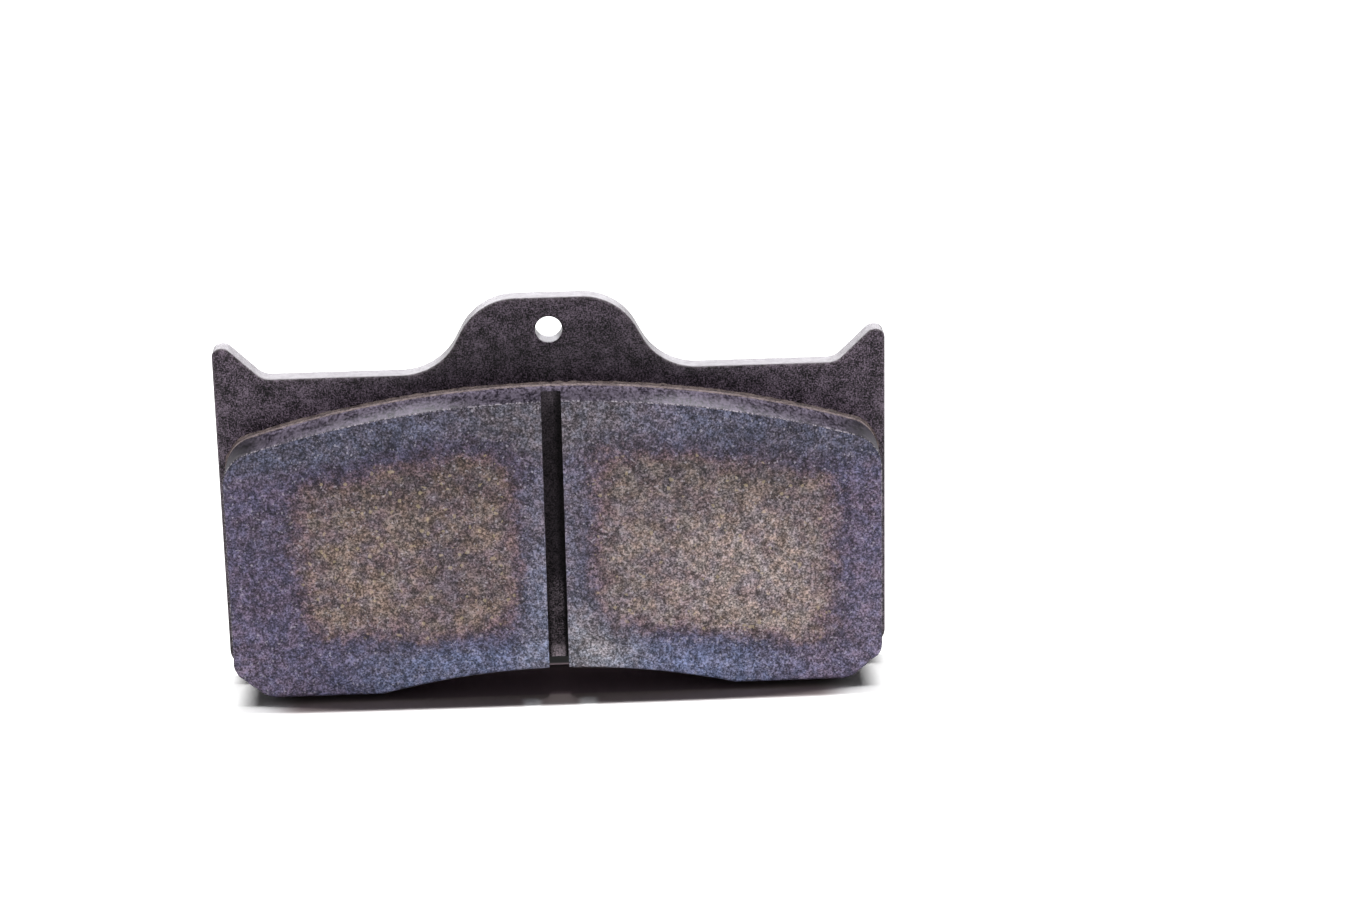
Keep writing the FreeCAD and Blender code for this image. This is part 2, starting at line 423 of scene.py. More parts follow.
class Nodes:
    """Short names for the shader nodes that the materials use. Places and sizes are in millimetres."""

    def __init__(self, name):
        self.material = bpy.data.materials.new(name)
        self.material.use_nodes = True
        self.tree = self.material.node_tree
        self.shader = self.tree.nodes["Principled BSDF"]
        place = self.tree.nodes.new("ShaderNodeTexCoord").outputs["Object"]
        self.place = self.vector("SCALE", place, scale=1 / MM)

    def link(self, value, socket):
        """Sets a socket from another socket or from a constant."""
        if isinstance(value, bpy.types.NodeSocket):
            self.tree.links.new(value, socket)
        else:
            socket.default_value = value

    def math(self, operation, *values):
        node = self.tree.nodes.new("ShaderNodeMath")
        node.operation = operation
        for value, socket in zip(values, node.inputs):
            self.link(value, socket)
        return node.outputs[0]

    def vector(self, operation, *values, scale=None):
        node = self.tree.nodes.new("ShaderNodeVectorMath")
        node.operation = operation
        for value, socket in zip(values, node.inputs):
            self.link(value, socket)
        if scale is not None:
            self.link(scale, node.inputs["Scale"])
        return node.outputs[0]

    def axes(self, place=None):
        """X, Y and Z of a place or colour, or of the shaded point."""
        node = self.tree.nodes.new("ShaderNodeSeparateXYZ")
        self.link(place or self.place, node.inputs[0])
        return node.outputs

    def noise(self, size, detail, roughness, shift, place=None):
        """Noise from 0 to 1 with lumps about size wide."""
        node = self.tree.nodes.new("ShaderNodeTexNoise")
        self.link(self.moved(shift, place), node.inputs["Vector"])
        node.inputs["Scale"].default_value = 1 / size
        node.inputs["Detail"].default_value = detail
        node.inputs["Roughness"].default_value = roughness
        return node.outputs["Fac"]

    def flecks(self, size, level, shift):
        """1 on irregular grains about size wide whose random value, from 0 to 1, passes a level."""
        node = self.tree.nodes.new("ShaderNodeTexVoronoi")
        self.link(self.moved(shift), node.inputs["Vector"])
        node.inputs["Scale"].default_value = 1 / size
        return self.math("GREATER_THAN", self.axes(node.outputs["Color"])[0], level)

    def moved(self, shift, place=None):
        """A place moved aside, so that each pattern is read somewhere else."""
        return self.vector("ADD", place or self.place, (shift, shift * 0.7, -shift))

    def spread(self, value, low, high, to_low=0.0, to_high=1.0):
        """Maps low..high to to_low..to_high, smoothly, and clamps."""
        node = self.tree.nodes.new("ShaderNodeMapRange")
        node.interpolation_type = "SMOOTHSTEP"
        for setting, socket in zip((value, low, high, to_low, to_high), node.inputs):
            self.link(setting, socket)
        return node.outputs[0]

    def mix(self, share, a, b, blend="MIX"):
        """From a to b by share, or a blended with b."""
        node = self.tree.nodes.new("ShaderNodeMix")
        node.data_type = "RGBA"
        node.blend_type = blend
        self.link(share, node.inputs[0])
        self.link(colour(a), node.inputs[6])
        self.link(colour(b), node.inputs[7])
        return node.outputs[2]

    def total(self, *values):
        """The sum of all values."""
        result = values[0]
        for value in values[1:]:
            result = self.math("ADD", result, value)
        return result

    def times(self, *values):
        """The product of all values."""
        result = values[0]
        for value in values[1:]:
            result = self.math("MULTIPLY", result, value)
        return result

    def tinted(self, shade, tint):
        """A shade multiplied by a number or a colour."""
        return self.mix(1.0, shade, tint, "MULTIPLY")

    def cover(self, shade, paint, *shares):
        """A shade with paint laid over it, as dense as the product of the shares."""
        return self.mix(self.times(*shares), shade, paint)

    def attribute(self, name):
        node = self.tree.nodes.new("ShaderNodeAttribute")
        node.attribute_name = name
        return node.outputs["Fac"]

    def finish(self, shade, roughness, height, depth, specular):
        """The finished material, with bump from a height of 0 to 1 that is depth millimetres deep."""
        bump = self.tree.nodes.new("ShaderNodeBump")
        bump.inputs["Distance"].default_value = depth * MM
        self.link(height, bump.inputs["Height"])
        self.link(bump.outputs["Normal"], self.shader.inputs["Normal"])
        self.link(shade, self.shader.inputs["Base Color"])
        self.link(roughness, self.shader.inputs["Roughness"])
        self.shader.inputs["Specular IOR Level"].default_value = specular
        return self.material


def colour(value):
    """A grey or RGB value as RGBA; a socket is passed through."""
    if isinstance(value, bpy.types.NodeSocket):
        return value
    if isinstance(value, (int, float)):
        return (value, value, value, 1.0)
    return (*value, 1.0)


# Colours are linear. One named ..._TINT multiplies the shade under it.

COAT_GRAIN = (0.101, 0.077, 0.103)
COAT_DUST = (0.125, 0.107, 0.127)
COAT_WALLS = (0.046, 0.040, 0.048)
COAT_RUBBED_GLINT = (0.13, 0.114, 0.118)
COAT_BACK_TINT = (0.25, 0.27, 0.25)


def coat_material():
    """Black satin coat over steel: fine mottled grain, dusty patches, rubbed edges with a painted
    highlight, and painted shade low in the middle.
    """
    n = Nodes("plate_coat")
    x, y, z = n.axes()
    fine = n.noise(0.25, detail=1.0, roughness=0.7, shift=3.0)
    soft = n.noise(0.6, detail=3.0, roughness=0.65, shift=11.0)
    patch = n.noise(2.6, detail=4.0, roughness=0.65, shift=23.0)
    grain = n.spread(n.total(n.times(fine, 2.2), soft, patch), 1.50, 2.62)
    shade = n.mix(n.math("POWER", grain, 1.9), 0.0, COAT_GRAIN)
    # Painted light and shade: the coat is darker low in the middle, by the block, and lighter towards the
    # ends and the tip.
    ends = n.spread(n.math("ABSOLUTE", x), 14.0, 42.0, 0.0, 0.66)
    tip = n.spread(z, 50.0, 60.0, 0.66, 0.94)
    shade = n.tinted(shade, n.total(ends, tip))
    paler = n.times(n.spread(patch, 0.52, 0.7), n.spread(soft, 0.5, 0.66))
    shade = n.cover(shade, COAT_DUST, paler, 0.35)
    front = n.spread(y, PLATE_FRONT_Y + PLATE_FRONT_EASE, PLATE_FRONT_Y + 0.1)
    back = n.spread(y, BACK_Y - 0.3, BACK_Y - 0.1)
    walls = n.math("SUBTRACT", 1.0, n.math("MAXIMUM", front, back))
    shade = n.cover(shade, COAT_WALLS, walls, 0.8)
    shade = n.tinted(shade, n.mix(back, 1.0, COAT_BACK_TINT))
    # Rubbed edges: wear, and a painted highlight where the edges catch the light.
    rubbed_glint = n.times(n.attribute("rim"), n.spread(soft, 0.35, 0.6, 0.35, 1.0))
    shade = n.cover(shade, COAT_RUBBED_GLINT, rubbed_glint, 0.45)
    height = n.total(n.times(soft, 0.7), n.times(fine, 0.3))
    height = n.times(height, n.spread(walls, 0.0, 1.0, 1.0, 0.05))
    sheen = n.spread(n.noise(1.1, detail=2.0, roughness=0.5, shift=41.0), 0.3, 0.7, 0.32, 0.39)
    return n.finish(shade, sheen, height, depth=0.03, specular=0.10)


def spot(n, x, z, radius):
    """A soft round patch on the face: 1 at its middle, 0 from its radius outward."""
    px, _, pz = n.axes()
    dx = n.math("SUBTRACT", px, x)
    dz = n.math("SUBTRACT", pz, z)
    away = n.math("SQRT", n.total(n.times(dx, dx), n.times(dz, dz)))
    return n.spread(away, radius, 0.0)


def smallest(n, values, softness):
    """The least of some values, eased over softness where two are close."""
    least = values[0]
    for value in values[1:]:
        least = n.math("SMOOTH_MIN", least, value, softness)
    return least


# The warm zone of each half of the face, by side: where its outer edge meets the foot line and how that
# edge leans, how high its lower edge starts and how that tilts, and its edge beside the slot
WARM_ZONES = {
    -1: {"outer": 37.2, "lean": 0.11, "lower": 9.7, "tilt": 0.0, "inner": 5.4},
    1: {"outer": 42.6, "lean": 0.03, "lower": 11.6, "tilt": 0.13, "inner": 5.5},
}
WARM_BELOW_CROWN = 6.8
WARM_CORNER_EASE = 9.0


def distance_inside(n, side):
    """How far a point of the face lies inside the warm zone of one half, in millimetres."""
    zone = WARM_ZONES[side]
    x, _, z = n.axes()
    wide = n.times(x, side)
    over = n.math("SUBTRACT", z, BLOCK_CROWN_Z - CROWN_R)
    reach = n.math("SQRT", n.total(n.times(x, x), n.times(over, over)))
    edges = (
        n.math("SUBTRACT", CROWN_R - WARM_BELOW_CROWN, reach),
        n.total(n.times(z, zone["lean"]), zone["outer"], n.times(wide, -1.0)),
        n.total(n.times(wide, zone["tilt"]), z, -zone["lower"]),
        n.math("SUBTRACT", wide, zone["inner"]),
    )
    return smallest(n, edges, WARM_CORNER_EASE)


def compound_grain(n):
    """The compound's grain from 0 to 1, the fine noise in it, and its height for bump."""
    fine = n.noise(0.27, detail=1.0, roughness=0.7, shift=1.0)
    coarse = n.noise(0.62, detail=2.0, roughness=0.6, shift=5.0)
    cloud = n.noise(1.7, detail=4.0, roughness=0.65, shift=13.0)
    grain = n.total(n.times(fine, 1.9), n.times(coarse, 0.8), n.times(cloud, 0.9))
    height = n.total(n.times(fine, 0.5), n.times(cloud, 0.8))
    return n.spread(grain, 1.18, 2.42), fine, height


RIM_VIOLET = (0.084, 0.067, 0.101)
RIM_SLATE = (0.073, 0.065, 0.106)
LEFT_END_VIOLET = (0.058, 0.048, 0.080)
CROWN_ENDS_SLATE = (0.050, 0.051, 0.073)
CROWN_MIDDLE_GREY = (0.060, 0.055, 0.064)
FOOT_BLUE = (0.082, 0.092, 0.150)
LEFT_FOOT_VIOLET = (0.062, 0.054, 0.092)
RIGHT_FOOT_VIOLET = (0.118, 0.097, 0.136)
SLOT_SIDE_GREY = (0.088, 0.083, 0.102)
SLOT_SIDE_BLUE = (0.120, 0.128, 0.182)
SLOT_FOOT_GREY = (0.175, 0.168, 0.184)
# Round patches of them: x, z and radius
LEFT_FOOT_SPOT = (-36.0, 5.0, 13.0)
RIGHT_FOOT_SPOT = (44.0, 10.0, 16.0)
SLOT_FOOT_SPOT = (6.0, 7.5, 11.0)


def burnish(n, x, z, wide, wobble):
    """The violet and blue shades round the rim of the friction face."""
    rim = n.mix(n.spread(wobble, -0.12, 0.12), RIM_VIOLET, RIM_SLATE)
    rim = n.cover(rim, LEFT_END_VIOLET, n.spread(x, -36.0, -43.0), n.spread(z, 5.0, 12.0), 0.6)
    rim = n.cover(rim, CROWN_ENDS_SLATE, n.spread(z, 34.0, 40.0), n.spread(wide, 8.0, 22.0), 0.85)
    rim = n.cover(rim, CROWN_MIDDLE_GREY, n.spread(z, 35.0, 41.0), n.spread(wide, 22.0, 8.0), 0.9)
    rim = n.cover(rim, FOOT_BLUE, n.spread(z, 12.0, 6.5), n.spread(wide, 44.0, 26.0), 0.88)
    rim = n.cover(rim, LEFT_FOOT_VIOLET, spot(n, *LEFT_FOOT_SPOT), 0.7)
    strip = n.spread(wide, 8.0, 4.0)
    rim = n.cover(rim, SLOT_SIDE_GREY, strip, n.spread(z, 40.0, 34.0), 0.6)
    # Left of the slot only: the strip right of it stays darker, as painted shade from the slot.
    left = n.spread(x, 0.5, -0.5)
    rim = n.cover(rim, SLOT_SIDE_BLUE, strip, left, n.spread(z, 27.0, 17.0), 0.6)
    rim = n.cover(rim, SLOT_FOOT_GREY, spot(n, *SLOT_FOOT_SPOT), n.spread(x, -1.5, 1.5), 0.85)
    rim = n.cover(rim, RIGHT_FOOT_VIOLET, spot(n, *RIGHT_FOOT_SPOT), 0.4)
    crown = n.times(n.spread(z, 36.0, 42.0), n.spread(wide, 30.0, 16.0))
    crown = n.times(crown, n.spread(x, -12.0, 6.0, 0.1, 1.0))
    foot = n.times(n.spread(z, 8.0, 4.0), n.spread(x, 2.0, 16.0))
    return n.tinted(rim, n.total(1.0, n.times(crown, 0.36), n.times(foot, 0.22)))


# The worn middle of the left and the right half, and its paler and browner patches. The right half's are
# lighter, as painted light from the right.
WORN = ((0.112, 0.085, 0.086), (0.126, 0.100, 0.102))
WORN_GOLD = ((0.150, 0.112, 0.085), (0.185, 0.144, 0.118))
WORN_PLUM = ((0.092, 0.068, 0.085), (0.112, 0.085, 0.101))
WORN_PALE = (0.212, 0.170, 0.165)
WORN_BROWN = (0.146, 0.110, 0.096)
PALE_SPOT = (28.0, 18.0, 20.0)
BROWN_SPOT = (-30.0, 17.0, 13.0)


def worn_middle(n, x, z):
    """The warm, worn shades in the middle of each half of the face."""
    right = n.spread(x, -0.5, 0.5)
    tint = n.noise(2.6, detail=2.0, roughness=0.5, shift=51.0)
    warm = n.mix(right, *WORN)
    warm = n.cover(warm, WORN_PALE, spot(n, *PALE_SPOT), 0.9)
    warm = n.cover(warm, WORN_BROWN, spot(n, *BROWN_SPOT), 0.6)
    warm = n.cover(warm, n.mix(right, *WORN_GOLD), n.spread(tint, 0.48, 0.62), 0.4)
    warm = n.cover(warm, n.mix(right, *WORN_PLUM), n.spread(tint, 0.50, 0.38), 0.5)
    return n.tinted(warm, n.spread(z, 42.0, 24.0, 0.52, 0.93))


EDGE_MAUVE = (0.100, 0.062, 0.075)
HALO_DARK = (0.034, 0.027, 0.046)
PATCH_DARK = (0.052, 0.042, 0.056)
# Darker patches on the face: place, radius and density
DARK_SPOTS = (
    (-15.0, 20.0, 8.0, 0.55),
    (-26.0, 8.0, 8.0, 0.4),
    (34.5, 37.0, 8.0, 0.55),
    (-44.0, 28.0, 7.0, 0.4),
)
WARM_TINT = (1.05, 0.985, 0.95)
COOL_TINT = (0.955, 1.005, 1.045)
BRASS_FLECK = (0.36, 0.29, 0.18)
WHITE_FLECK = (0.36, 0.34, 0.38)


def face_material():
    """The bedded friction face: a warm middle on each half, a dark halo, violet and blue edges."""
    n = Nodes("friction_face")
    x, _, z = n.axes()
    wide = n.math("ABSOLUTE", x)
    wobble = n.math("SUBTRACT", n.noise(5.0, detail=4.0, roughness=0.65, shift=7.0), 0.5)
    ragged = n.math("SUBTRACT", n.noise(1.1, detail=3.0, roughness=0.7, shift=19.0), 0.5)
    depth = n.math("MAXIMUM", distance_inside(n, -1), distance_inside(n, 1))
    depth = n.total(depth, n.times(wobble, 6.0), n.times(ragged, 4.5))
    shade = n.mix(n.spread(depth, -1.2, 2.2), burnish(n, x, z, wide, wobble), worn_middle(n, x, z))
    shade = n.cover(shade, EDGE_MAUVE, n.spread(depth, -0.6, 0.6), n.spread(depth, 3.2, 1.2), 0.4)
    halo = n.times(n.spread(depth, -3.2, -0.8), n.spread(depth, 2.0, -0.2))
    top_right = n.times(n.spread(z, 28.0, 34.0), n.spread(x, -2.0, 6.0))
    dense = n.times(n.spread(z, 32.0, 38.0, 0.4, 0.75), n.spread(top_right, 0.0, 1.0, 1.0, 0.6))
    shade = n.cover(shade, HALO_DARK, halo, dense)
    for *place, share in DARK_SPOTS:
        shade = n.cover(shade, PATCH_DARK, spot(n, *place), share)

    grain, fine, height = compound_grain(n)
    speckle = n.total(n.times(grain, 1.06), n.times(n.math("POWER", grain, 3.0), 1.26), 0.19)
    shade = n.tinted(shade, speckle)
    hue = n.spread(n.noise(1.5, detail=2.0, roughness=0.55, shift=61.0), 0.36, 0.64)
    shade = n.tinted(shade, n.mix(hue, WARM_TINT, COOL_TINT))
    brass = n.flecks(0.45, level=0.98, shift=29.0)
    shade = n.cover(shade, BRASS_FLECK, brass, n.spread(depth, -0.5, 1.5), 0.4)
    white = n.flecks(0.30, level=0.955, shift=37.0)
    shade = n.cover(shade, WHITE_FLECK, white, n.spread(fine, 0.4, 0.6), 0.38)
    return n.finish(shade, n.spread(fine, 0.2, 0.8, 0.48, 0.62), height, depth=0.03, specular=0.11)


SKIN_DARK = (0.009, 0.007, 0.012)
SKIN_LIGHT = (0.122, 0.103, 0.140)
SKIN_SCUFFED = (0.148, 0.128, 0.152)
SKIN_ARRIS_GLINT = (0.40, 0.37, 0.40)
# How much of its colour the skin keeps round the end corners, under painted shade
PAINTED_END_SHADE = 0.26
# The sides' noise is read at a place with less of Y, which draws the grain out along Y
DRAWN = (1.0, 0.35, 1.0)


def skin_material():
    """The block's moulded sides: a closed, slightly shiny skin over the grain, with painted shade round
    the end corners and a painted highlight along the worn rim of the face.
    """
    n = Nodes("friction_skin")
    x, y, _ = n.axes()
    drawn = n.vector("MULTIPLY", n.place, DRAWN)
    fine = n.noise(0.38, detail=2.0, roughness=0.7, shift=9.0, place=drawn)
    cloud = n.noise(1.3, detail=4.0, roughness=0.7, shift=15.0, place=drawn)
    grain = n.spread(n.total(n.times(fine, 1.3), n.times(cloud, 0.8)), 0.78, 1.32)
    shade = n.mix(grain, SKIN_DARK, SKIN_LIGHT)
    seam = n.spread(y, -2.2, UNDER_FRONT_Y, 1.0, 1.75)
    # Painted shade round the end corners, which are also dulled there.
    bend = n.spread(n.math("ABSOLUTE", x), 42.5, 46.5, 1.0, PAINTED_END_SHADE)
    shade = n.tinted(shade, n.times(seam, bend))
    scuff = n.spread(n.noise(3.5, detail=4.0, roughness=0.7, shift=71.0), 0.5, 0.75)
    shade = n.cover(shade, SKIN_SCUFFED, scuff, 0.3)
    # The face's rim: lighter worn grains, with a painted highlight along the edge.
    arris = n.spread(y, FACE_Y + 0.55, FACE_Y + 0.15)
    shade = n.cover(shade, SKIN_ARRIS_GLINT, arris, n.spread(grain, 0.45, 0.85), 0.6)
    height = n.total(n.times(fine, 0.5), n.times(cloud, 0.5))
    dull = n.total(n.spread(grain, 0.0, 1.0, 0.46, 0.66), n.spread(bend, 1.0, PAINTED_END_SHADE, 0.0, 0.3))
    return n.finish(shade, dull, height, depth=0.09, specular=0.22)


SLOT_DARK = (0.001, 0.001, 0.002)
SLOT_LIGHT = (0.085, 0.069, 0.082)
SLOT_LOWER_DARK = (0.01, 0.01, 0.01)
SLOT_LOWER_LIGHT = (0.52, 0.43, 0.50)
SLOT_END_DARK = (0.10, 0.08, 0.09)
SLOT_END_LIGHT = (0.95, 0.80, 0.90)


def slot_material():
    """The sawn slot: torn, matt compound, with painted shade on its walls and right side, and painted
    light that makes it paler in its lower part and palest at its lower end.
    """
    n = Nodes("friction_slot")
    x, y, z = n.axes()
    grain, fine, height = compound_grain(n)
    shade = n.mix(grain, SLOT_DARK, SLOT_LIGHT)
    # Painted shade: the walls and the right side of the floor are darkened to a quarter.
    unshaded_floor = n.times(n.spread(y, SLOT_FLOOR_Y - 0.4, SLOT_FLOOR_Y - 0.1), n.spread(x, 1.3, -0.2))
    shade = n.tinted(shade, n.spread(unshaded_floor, 0.0, 1.0, 0.25, 1.0))
    middle = n.times(n.spread(x, 1.25, 0.7), n.spread(x, -1.35, -0.7))
    # Painted light: the slot is paler in its lower part.
    paler = n.mix(n.math("POWER", grain, 2.0), SLOT_LOWER_DARK, SLOT_LOWER_LIGHT)
    shade = n.cover(shade, paler, n.spread(z, 19.0, 15.0), middle, 0.6)
    # Painted light: palest at the slot's lower end.
    end = n.mix(grain, SLOT_END_DARK, SLOT_END_LIGHT)
    shade = n.cover(shade, end, n.spread(z, 6.6, 5.8), middle, 0.7)
    return n.finish(shade, n.spread(fine, 0.2, 0.8, 0.80, 0.95), height, depth=0.05, specular=0.2)


UNDER_DARK = (0.060, 0.045, 0.048)
UNDER_LIGHT = (0.36, 0.29, 0.29)
UNDER_FIBRE = (0.34, 0.28, 0.24)


def underlayer_material():
    """The paler bonding layer: coarse tan and grey grains and short fibres, and painted shade that makes
    it darker in the holes.
    """
    n = Nodes("underlayer_compound")
    _, y, _ = n.axes()
    fine = n.noise(0.3, detail=2.0, roughness=0.7, shift=2.0)
    cloud = n.noise(1.2, detail=4.0, roughness=0.7, shift=17.0)
    mixed = n.total(fine, n.times(cloud, 0.8))
    shade = n.mix(n.spread(mixed, 0.6, 1.2), UNDER_DARK, UNDER_LIGHT)
    fibre = n.flecks(0.4, level=0.96, shift=47.0)
    shade = n.cover(shade, UNDER_FIBRE, fibre, 0.4)
    # Painted shade: darker along the studs, towards their ends in the plate's holes.
    shade = n.tinted(shade, n.spread(y, PLATE_FRONT_Y, STUD_END_Y - 0.5, 1.0, 0.42))
    return n.finish(shade, n.spread(mixed, 0.6, 1.2, 0.45, 0.65), mixed, depth=0.05, specular=0.25)


ADHESIVE_DARK = (0.020, 0.013, 0.014)
ADHESIVE_LIGHT = (0.130, 0.098, 0.094)


def adhesive_material():
    """The squeezed-out adhesive: dark brown, uneven and slightly glossy."""
    n = Nodes("adhesive_flash")
    fine = n.noise(0.3, detail=2.0, roughness=0.7, shift=4.0)
    cloud = n.noise(1.5, detail=3.0, roughness=0.6, shift=21.0)
    mixed = n.total(fine, n.times(cloud, 0.8))
    shade = n.mix(n.spread(mixed, 0.6, 1.2), ADHESIVE_DARK, ADHESIVE_LIGHT)
    return n.finish(shade, n.spread(mixed, 0.6, 1.2, 0.4, 0.6), mixed, depth=0.05, specular=0.25)


# ---------------- pieces

def rounded_levels(y_edge, y_wall, radius, count):
    """Levels (y, inset) round an edge, from the face at y_edge to the wall towards y_wall."""
    side = 1 if y_wall > y_edge else -1
    levels = []
    for i in range(count + 1):
        angle = math.pi / 2 * i / count
        levels.append((y_edge + side * radius * (1 - math.cos(angle)), radius * (1 - math.sin(angle))))
    return levels


def steps_between(low, high, step):
    """Levels about step apart between low and high, without either."""
    count = max(1, round(abs(high - low) / step))
    return [low + (high - low) * i / count for i in range(1, count)]


def hole_wall(build, x, z, radius, ease, count):
    """The wall of a round hole in the plate, with eased edges. Returns its front and back loops."""
    front = [(y, radius + inset) for y, inset in rounded_levels(PLATE_FRONT_Y, BACK_Y, ease, 3)]
    back = [(y, radius + inset) for y, inset in rounded_levels(BACK_Y, PLATE_FRONT_Y, ease, 3)]
    middle = [(y, radius) for y in steps_between(front[-1][0], back[-1][0], 0.6)]
    levels = front + middle + back[::-1]
    build.tube(x, z, levels, count)
    return circle(x, z, levels[0][1], count), circle(x, z, levels[-1][1], count)


# The plate's sheared wall is smooth in front and fractured behind that, up to a little before the back
SHEARED_DEPTH = 2.3
FRACTURE_STOP = 0.1
SHEARED_GRAIN = 0.002
FRACTURE_GRAIN = 0.006
# Width of the band along the edge where the coat is rubbed and a highlight is painted
RUBBED_GLINT_WIDTH = 0.5
# Points round each kind of hole, and how far the edges of the holes are rounded
KEY_POINTS = 64
PIN_POINTS = 48
KEY_EASE = 0.15
PIN_EASE = 0.2
PLATE_SPACING = 1.2


def make_plate():
    """The stamping: rolled front edge, sheared wall with a rougher fracture band, eased back."""
    build = Builder()
    loop = plate_loop(0.45)
    normals = outward_normals(loop)
    front = rounded_levels(PLATE_FRONT_Y, BACK_Y, PLATE_FRONT_EASE, 4)
    back = rounded_levels(BACK_Y, PLATE_FRONT_Y, PLATE_BACK_EASE, 3)
    middle = [(y, 0.0) for y in steps_between(front[-1][0], back[-1][0], 0.3)]
    rows = []
    for y, inset in front + middle + back[::-1]:
        fractured = PLATE_FRONT_Y + SHEARED_DEPTH < y < BACK_Y - FRACTURE_STOP
        grain = FRACTURE_GRAIN if fractured else SHEARED_GRAIN
        amounts = [-inset - grain * (0.5 + 0.5 * rough(p.x, y * 2, p.y, 0.8, 1)) for p in loop]
        rows.append(at_depth(moved_out(loop, normals, amounts), y))
    build.grid(rows, closed=True)
    holes = [hole_wall(build, x, z, KEY_R, KEY_EASE, KEY_POINTS) for x, z in KEY_CENTRES]
    holes.append(hole_wall(build, 0, PIN_Z, PIN_R, PIN_EASE, PIN_POINTS))
    front_holes, back_holes = zip(*holes)
    build.cap([flattened(rows[0]), *front_holes], PLATE_SPACING, PLATE_FRONT_Y, seed=1)
    build.cap([flattened(rows[-1]), *back_holes], PLATE_SPACING, BACK_Y, seed=2)
    piece = build.finish("backing_plate_coated", "plate_coat", "backing_plate", [coat_material()])
    mark_rim(piece, loop)
    return piece


def mark_rim(piece, loop):
    """Stores how near each vertex is to the outline, from 0 to 1, for wear and a painted edge highlight
    in the material.
    """
    tree = search_tree(loop)
    near = []
    for vertex in piece.data.vertices:
        away = tree.find((vertex.co.x / MM, vertex.co.z / MM, 0))[2]
        near.append(max(0.0, 1 - away / RUBBED_GLINT_WIDTH))
    rim = piece.data.attributes.new("rim", "FLOAT", "POINT")
    rim.data.foreach_set("value", near)


# A stud's section from its wall to its end: distance before the end, and inset from the wall
STUD_SECTION = ((0.9, 0.0), (0.25, 0.0), (0.07, 0.08), (0.0, 0.28))
STUD_GAP = 0.02
STUD_GRAIN = 0.06
UNDER_GRAIN = 0.02
STUD_SPACING = 0.4
HIDDEN_SPACING = 2.5


def stud_end(x, z):
    """The uneven end of a stud."""
    return STUD_END_Y - STUD_GRAIN - STUD_GRAIN * rough(x, 0, z, 0.7, 3)


def make_underlayer():
    """The bonding layer, with the studs that fill the plate's keying holes."""
    build = Builder()
    loop = mirrored_loop(block_half(0.6, 0.0))
    normals = outward_normals(loop)
    rows = []
    for y in (UNDER_FRONT_Y, UNDER_FRONT_Y + 0.4, UNDER_FRONT_Y + 0.8, FILM_FRONT_Y):
        amounts = [UNDER_GRAIN * rough(p.x, y * 3, p.y, 0.7, 2) for p in loop]
        rows.append(at_depth(moved_out(loop, normals, amounts), y))
    build.grid(rows, closed=True)
    build.cap([flattened(rows[0])], HIDDEN_SPACING, UNDER_FRONT_Y, seed=3)
    wall = KEY_R - STUD_GAP
    levels = [(FILM_FRONT_Y, wall)]
    levels += [(STUD_END_Y - before, wall - inset) for before, inset in STUD_SECTION]
    end_radius = levels[-1][1]
    for i, (x, z) in enumerate(KEY_CENTRES):
        build.tube(x, z, levels, KEY_POINTS)
        end = circle(x, z, end_radius, KEY_POINTS)
        build.cap([end], STUD_SPACING, STUD_END_Y, seed=10 + i, inner_y=stud_end)
    studs = [circle(x, z, wall, KEY_POINTS) for x, z in KEY_CENTRES]
    build.cap([flattened(rows[-1]), *studs], HIDDEN_SPACING, FILM_FRONT_Y, seed=4)
    return build.finish("underlayer_moulding", "underlayer", "underlayer", [underlayer_material()])


# The flash's section from the moulding to the plate: shares of how far it swells and climbs
FLASH_SECTION = ((0.3, 0.92), (0.62, 0.68), (0.85, 0.4), (1.0, 0.15), (1.06, 0.0))
# The flash starts this far outside the moulding, and the film's mesh this far inside it
FILM_HUG = 0.03
FILM_LAP = 0.4


def make_film():
    """The adhesive film with its squeezed-out, uneven flash round the moulding."""
    build = Builder()
    loop = mirrored_loop(block_half(0.3, 0.0))
    normals = outward_normals(loop)
    swell = [0.26 + 0.14 * rough(p.x, 0, p.y, 1.3, 4) + 0.08 * rough(p.x, 0, p.y, 0.5, 5) for p in loop]
    climb = [0.42 + 0.20 * rough(p.x, 0, p.y, 2.3, 6) + 0.12 * rough(p.x, 0, p.y, 0.6, 7) for p in loop]

    def ring(share_out, share_up, hug=0.0):
        """One line along the flash."""
        spots = moved_out(loop, normals, [hug + share_out * s for s in swell])
        return [(p.x, PLATE_FRONT_Y - share_up * c, p.y) for p, c in zip(spots, climb)]

    rows = [at_depth(moved_out(loop, normals, out), FILM_FRONT_Y) for out in (-FILM_LAP, FILM_HUG)]
    rows.append(ring(0.0, 1.0, FILM_HUG))
    rows += [ring(out, up) for out, up in FLASH_SECTION]
    build.grid(rows, closed=True)
    for x, z in KEY_CENTRES:
        build.tube(x, z, [(FILM_FRONT_Y, KEY_R), (PLATE_FRONT_Y, KEY_R)], KEY_POINTS)
    holes = [circle(x, z, KEY_R, KEY_POINTS) for x, z in KEY_CENTRES]
    build.cap([flattened(rows[0]), *holes], HIDDEN_SPACING, FILM_FRONT_Y, seed=5)
    build.cap([flattened(rows[-1]), *holes], HIDDEN_SPACING, PLATE_FRONT_Y, seed=6)
    return build.finish("adhesive_flash", "adhesive", "adhesive_film", [adhesive_material()])


# The ground face: how deep it lies, its grain, and its pits, which start where noise passes a level
FACE_SINK = 0.02
FACE_GRAIN = 0.018
PIT_LEVEL = 0.25
PIT_DEPTH = 0.12
